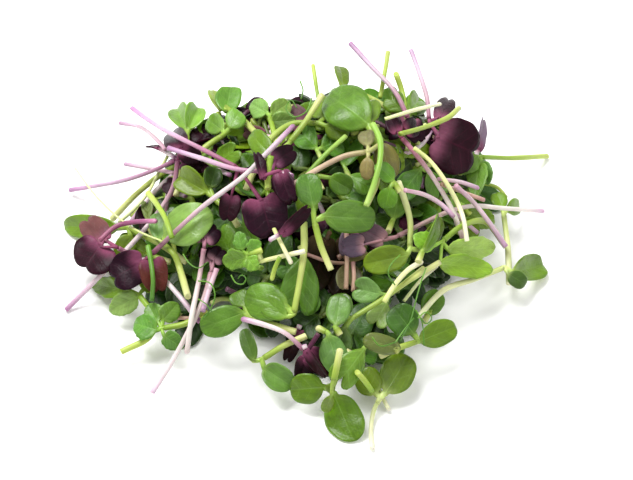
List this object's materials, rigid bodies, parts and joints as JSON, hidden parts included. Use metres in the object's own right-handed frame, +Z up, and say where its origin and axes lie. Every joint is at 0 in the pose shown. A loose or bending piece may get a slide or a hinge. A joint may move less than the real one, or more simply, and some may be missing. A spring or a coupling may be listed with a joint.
{
  "type": "heap of cut microgreens",
  "caption": "Loose low heap of cut mixed microgreens: radish sprouts with pink stems and purple leaves, sunflower sprouts with oval leaves, kale sprouts and pea shoots.",
  "frame": {"origin": "middle of the heap's footprint, on the surface that it lies on", "axes": "+Z up, +X to the right of the heap seen from its front, -Y towards the front"},
  "size_m": [0.2123, 0.1899, 0.0671],
  "materials": {
    "radish_stem": "smooth moist plant stem, cream white running into pink and mauve at the cut end",
    "radish_leaf": "satin dark purple seed leaf with fine lighter veins",
    "sunflower_sprout": "satin fleshy green seed leaf with a pale midrib, on a cream to pale green stem",
    "kale_sprout": "matte soft green notched seed leaf on a pale green stem",
    "pea_shoot": "satin fresh green leaflet with toothed edge and fine veins, on a green stem"
  },
  "bodies": {
    "root": {"underside_low": "sunflower_sprout", "underside_high": "kale_sprout", "underside_back": "sunflower_sprout", "sunflower_back_left": "sunflower_sprout", "sunflower_back_middle": "sunflower_sprout", "sunflower_back_low": "sunflower_sprout", "pea_back": "pea_shoot", "sunflower_back_curled": "sunflower_sprout", "kale_back_right": "kale_sprout", "radish_back_stem": "radish_stem", "radish_back_leaves": "radish_leaf", "pea_right_cut": "pea_shoot", "radish_right_tall_stem": "radish_stem", "radish_right_tall_leaves": "radish_leaf", "sunflower_far_right": "sunflower_sprout", "sunflower_right_tip": "sunflower_sprout", "sunflower_far_left": "sunflower_sprout", "radish_left_low_stem": "radish_stem", "radish_left_low_leaves": "radish_leaf", "pea_left_low": "pea_shoot", "pea_left_front": "pea_shoot", "radish_left_cross_stem": "radish_stem", "radish_left_cross_leaves": "radish_leaf", "radish_left_pair_stem": "radish_stem", "radish_left_pair_leaves": "radish_leaf", "radish_front_long_stem": "radish_stem", "radish_front_long_leaves": "radish_leaf", "radish_front_short_stem": "radish_stem", "radish_front_short_leaves": "radish_leaf", "sunflower_left_broad": "sunflower_sprout", "sunflower_left_folded": "sunflower_sprout", "sunflower_top_pale": "sunflower_sprout", "sunflower_top_broad": "sunflower_sprout", "sunflower_top_oval": "sunflower_sprout", "kale_middle": "kale_sprout", "radish_upper_left_stem": "radish_stem", "radish_upper_left_leaves": "radish_leaf", "radish_upper_middle_stem": "radish_stem", "radish_upper_middle_leaves": "radish_leaf", "radish_left_across_stem": "radish_stem", "radish_left_across_leaves": "radish_leaf", "sunflower_olive": "sunflower_sprout", "radish_right_arc_stem": "radish_stem", "radish_right_arc_leaves": "radish_leaf", "radish_right_down_stem": "radish_stem", "radish_right_down_leaves": "radish_leaf", "sunflower_right_bent": "sunflower_sprout", "pea_right": "pea_shoot", "kale_right": "kale_sprout", "sunflower_front_left": "sunflower_sprout", "sunflower_middle_stem": "sunflower_sprout", "sunflower_hero": "sunflower_sprout", "sunflower_front_pale": "sunflower_sprout", "sunflower_tail_left": "sunflower_sprout", "radish_front_dark_stem": "radish_stem", "radish_front_dark_leaves": "radish_leaf", "sunflower_front_right": "sunflower_sprout", "sunflower_right_low": "sunflower_sprout", "sunflower_tail_tip": "sunflower_sprout"}
  },
  "joints": []
}
